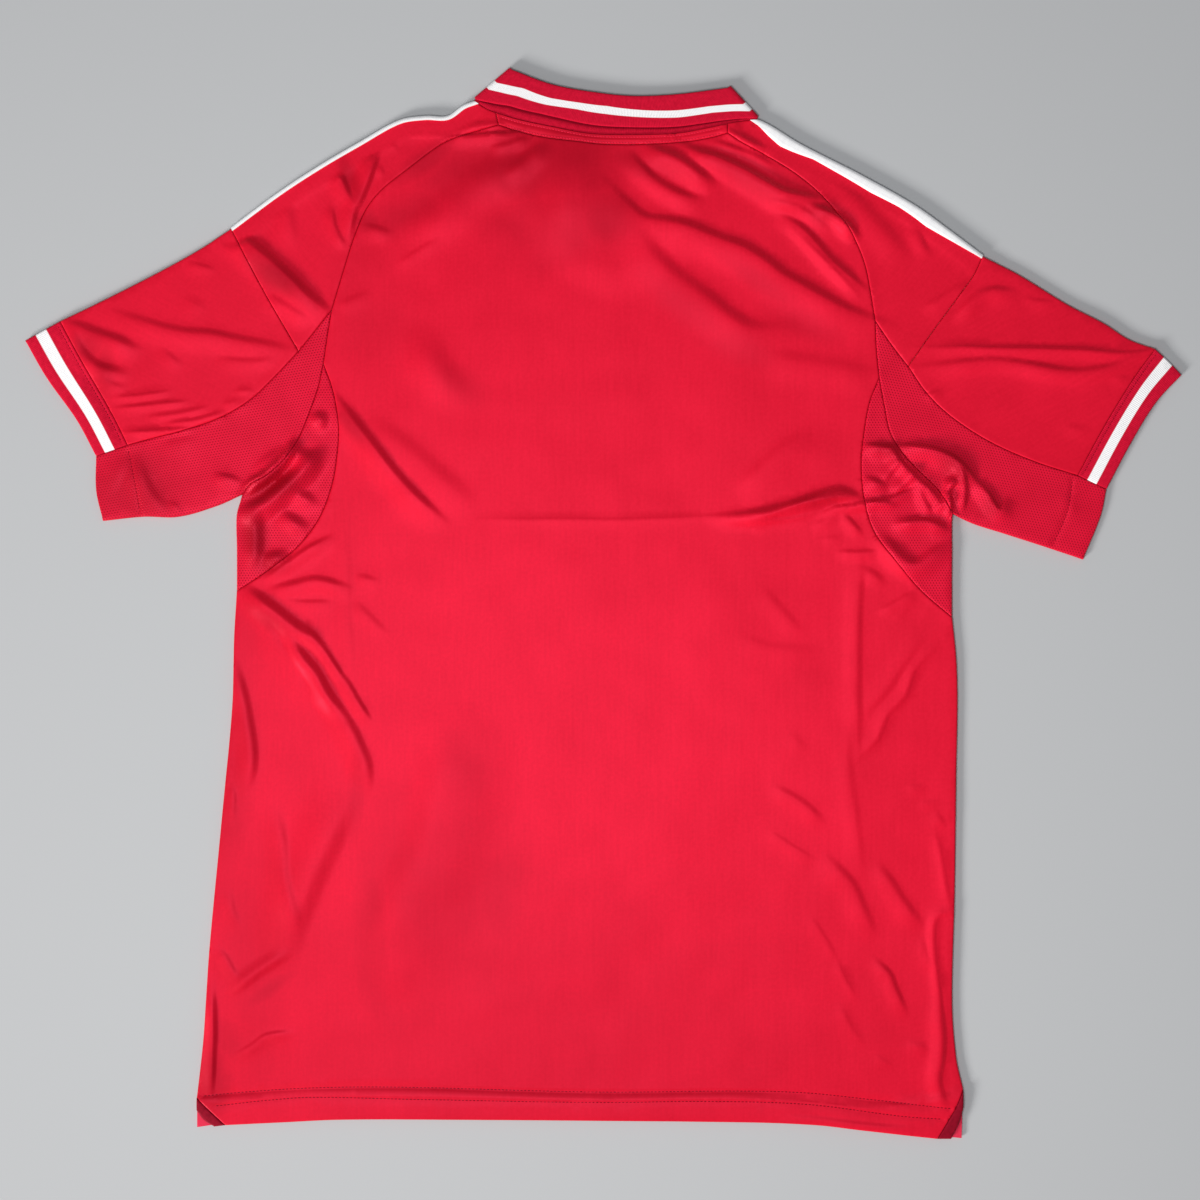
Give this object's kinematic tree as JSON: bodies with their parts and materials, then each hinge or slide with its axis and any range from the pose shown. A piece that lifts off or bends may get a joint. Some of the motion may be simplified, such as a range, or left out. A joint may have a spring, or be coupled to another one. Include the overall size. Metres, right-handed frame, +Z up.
{
  "type": "football jersey",
  "caption": "Short-sleeved V-neck football jersey lying flat, back up, with raglan yokes, mesh underarm gussets, rib collar and cuffs, and notched vents at the hem.",
  "frame": {"origin": "bottom centre of the bounding box, on the surface that the jersey lies on, under the middle of the body", "axes": "+Z up out of the surface and out of the jersey's back; +Y from the hem to the collar; +X from the wearer's left sleeve to the right one, across the sleeves"},
  "size_m": [0.8388, 0.7762, 0.0096],
  "materials": {
    "satin_knit": "crimson polyester interlock knit with a soft satin sheen",
    "mesh_knit": "crimson honeycomb mesh with fine closed eyelets",
    "rib_knit": "matt deep red rib knit with white stripes knitted in",
    "white_tape": "plain white woven tape",
    "vent_tape": "dark red woven tape"
  },
  "bodies": {
    "root": {"back_panel": "satin_knit", "front_panel": "satin_knit", "neck_binding": "satin_knit", "collar": "rib_knit", "yoke_left": "satin_knit", "yoke_right": "satin_knit", "sleeve_left": "satin_knit", "sleeve_right": "satin_knit", "sleeve_mesh_left": "mesh_knit", "sleeve_mesh_right": "mesh_knit", "side_mesh_left": "mesh_knit", "side_mesh_right": "mesh_knit", "cuff_left": "rib_knit", "cuff_right": "rib_knit", "shoulder_tape_left": "white_tape", "shoulder_tape_right": "white_tape", "vent_tape_left": "vent_tape", "vent_tape_right": "vent_tape"}
  },
  "joints": []
}
